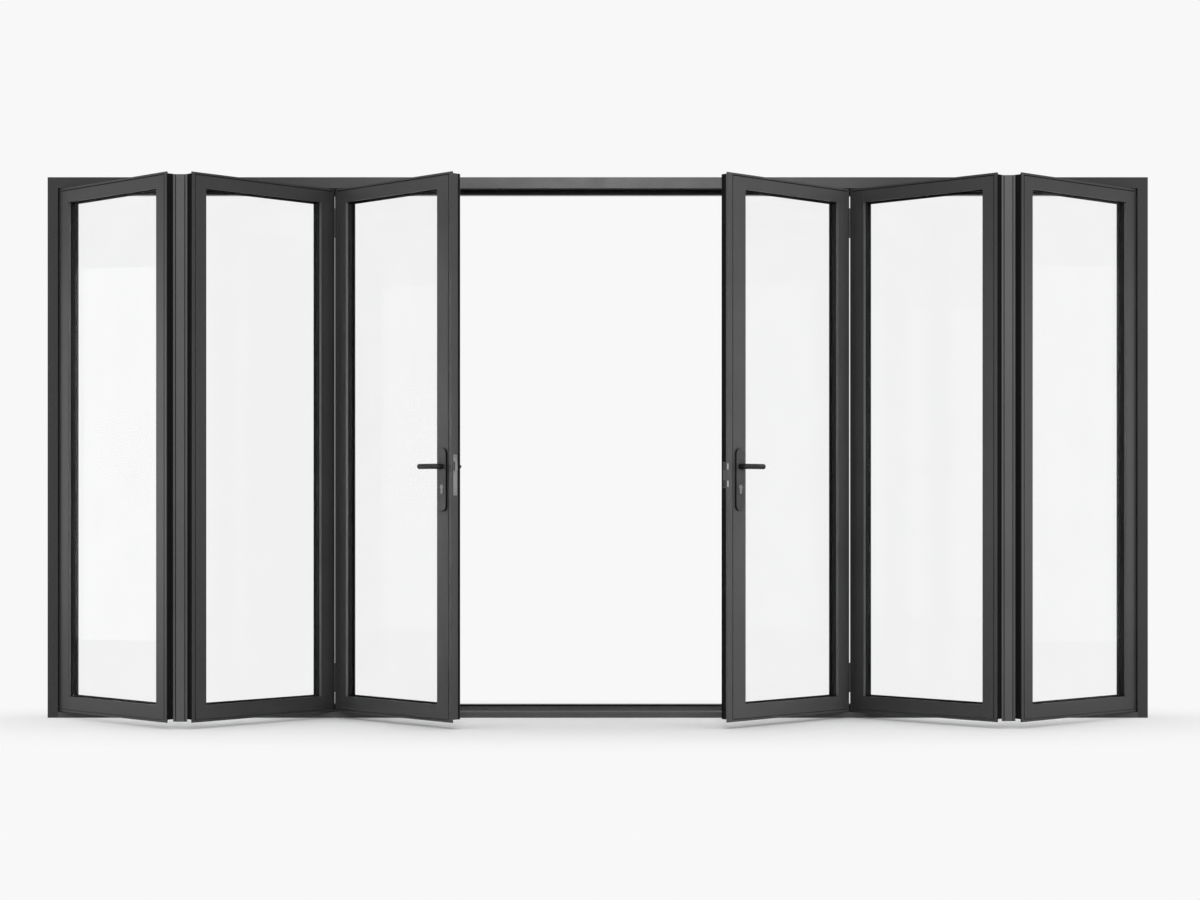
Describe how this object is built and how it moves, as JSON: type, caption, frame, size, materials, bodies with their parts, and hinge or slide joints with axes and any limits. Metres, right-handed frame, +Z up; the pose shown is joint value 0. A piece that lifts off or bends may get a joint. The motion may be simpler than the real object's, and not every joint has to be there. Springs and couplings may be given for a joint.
{
  "type": "bifold glass patio door",
  "caption": "Dark metal bifold patio door, its glazed leaves half folded outwards to both sides of an open middle, in a frame with top track and low sill.",
  "frame": {"origin": "middle of the sill's underside, at half the frame's depth", "axes": "+X along the opening, -Y to the outside where the leaves fold, +Z up"},
  "size_m": [4.274, 0.5769, 2.1],
  "materials": {
    "frame_metal": "matt powder coat",
    "leaf_metal": "matt powder coat",
    "bead_metal": "matt powder coat",
    "guard_metal": "satin",
    "hardware_metal": "matt",
    "handle_metal": "matt",
    "cylinder_metal": "satin",
    "lock_steel": "satin",
    "seal_rubber": "matt",
    "glazing": "clear"
  },
  "bodies": {
    "door": {"frame_head": "frame_metal", "frame_seals": "seal_rubber", "frame_sill": "frame_metal", "left_bottom_guide": "hardware_metal", "left_finger_guard": "guard_metal", "left_fold_hinges": "hardware_metal", "left_frame_jamb": "frame_metal", "left_handle_plates": "handle_metal", "left_jamb_leaf_beads": "bead_metal", "left_jamb_leaf_glass": "glazing", "left_jamb_leaf_rails": "leaf_metal", "left_jamb_leaf_stiles": "leaf_metal", "left_jamb_pivots": "hardware_metal", "left_lead_leaf_beads": "bead_metal", "left_lead_leaf_glass": "glazing", "left_lead_leaf_rails": "leaf_metal", "left_lead_leaf_stiles": "leaf_metal", "left_lock_cylinder": "cylinder_metal", "left_lock_faceplate": "lock_steel", "left_middle_leaf_beads": "bead_metal", "left_middle_leaf_glass": "glazing", "left_middle_leaf_rails": "leaf_metal", "left_middle_leaf_stiles": "leaf_metal", "left_rear_hinges": "hardware_metal", "left_top_carrier": "hardware_metal", "right_bottom_guide": "hardware_metal", "right_finger_guard": "guard_metal", "right_fold_hinges": "hardware_metal", "right_frame_jamb": "frame_metal", "right_handle_plates": "handle_metal", "right_jamb_leaf_beads": "bead_metal", "right_jamb_leaf_glass": "glazing", "right_jamb_leaf_rails": "leaf_metal", "right_jamb_leaf_stiles": "leaf_metal", "right_jamb_pivots": "hardware_metal", "right_lead_leaf_beads": "bead_metal", "right_lead_leaf_glass": "glazing", "right_lead_leaf_rails": "leaf_metal", "right_lead_leaf_stiles": "leaf_metal", "right_lock_cylinder": "cylinder_metal", "right_lock_keeps": "lock_steel", "right_middle_leaf_beads": "bead_metal", "right_middle_leaf_glass": "glazing", "right_middle_leaf_rails": "leaf_metal", "right_middle_leaf_stiles": "leaf_metal", "right_rear_hinges": "hardware_metal", "right_top_carrier": "hardware_metal"},
    "lever_left": {"left_lever": "handle_metal"},
    "lever_right": {"right_lever": "handle_metal"}
  },
  "joints": [
    {"name": "left_lever_turn", "type": "hinge", "parent": "door", "child": "lever_left", "pos_m": [-0.55203, -0.47932, 0.969], "axis": [-0.7133, -0.7009, 0], "range_deg": [0, 45], "stiffness_Nm_per_rad": 1, "springref_deg": -34.38},
    {"name": "right_lever_turn", "type": "hinge", "parent": "door", "child": "lever_right", "pos_m": [0.50592, -0.45498, 0.969], "axis": [-0.6909, 0.723, 0], "range_deg": [0, 45], "stiffness_Nm_per_rad": 1, "springref_deg": -34.38}
  ]
}
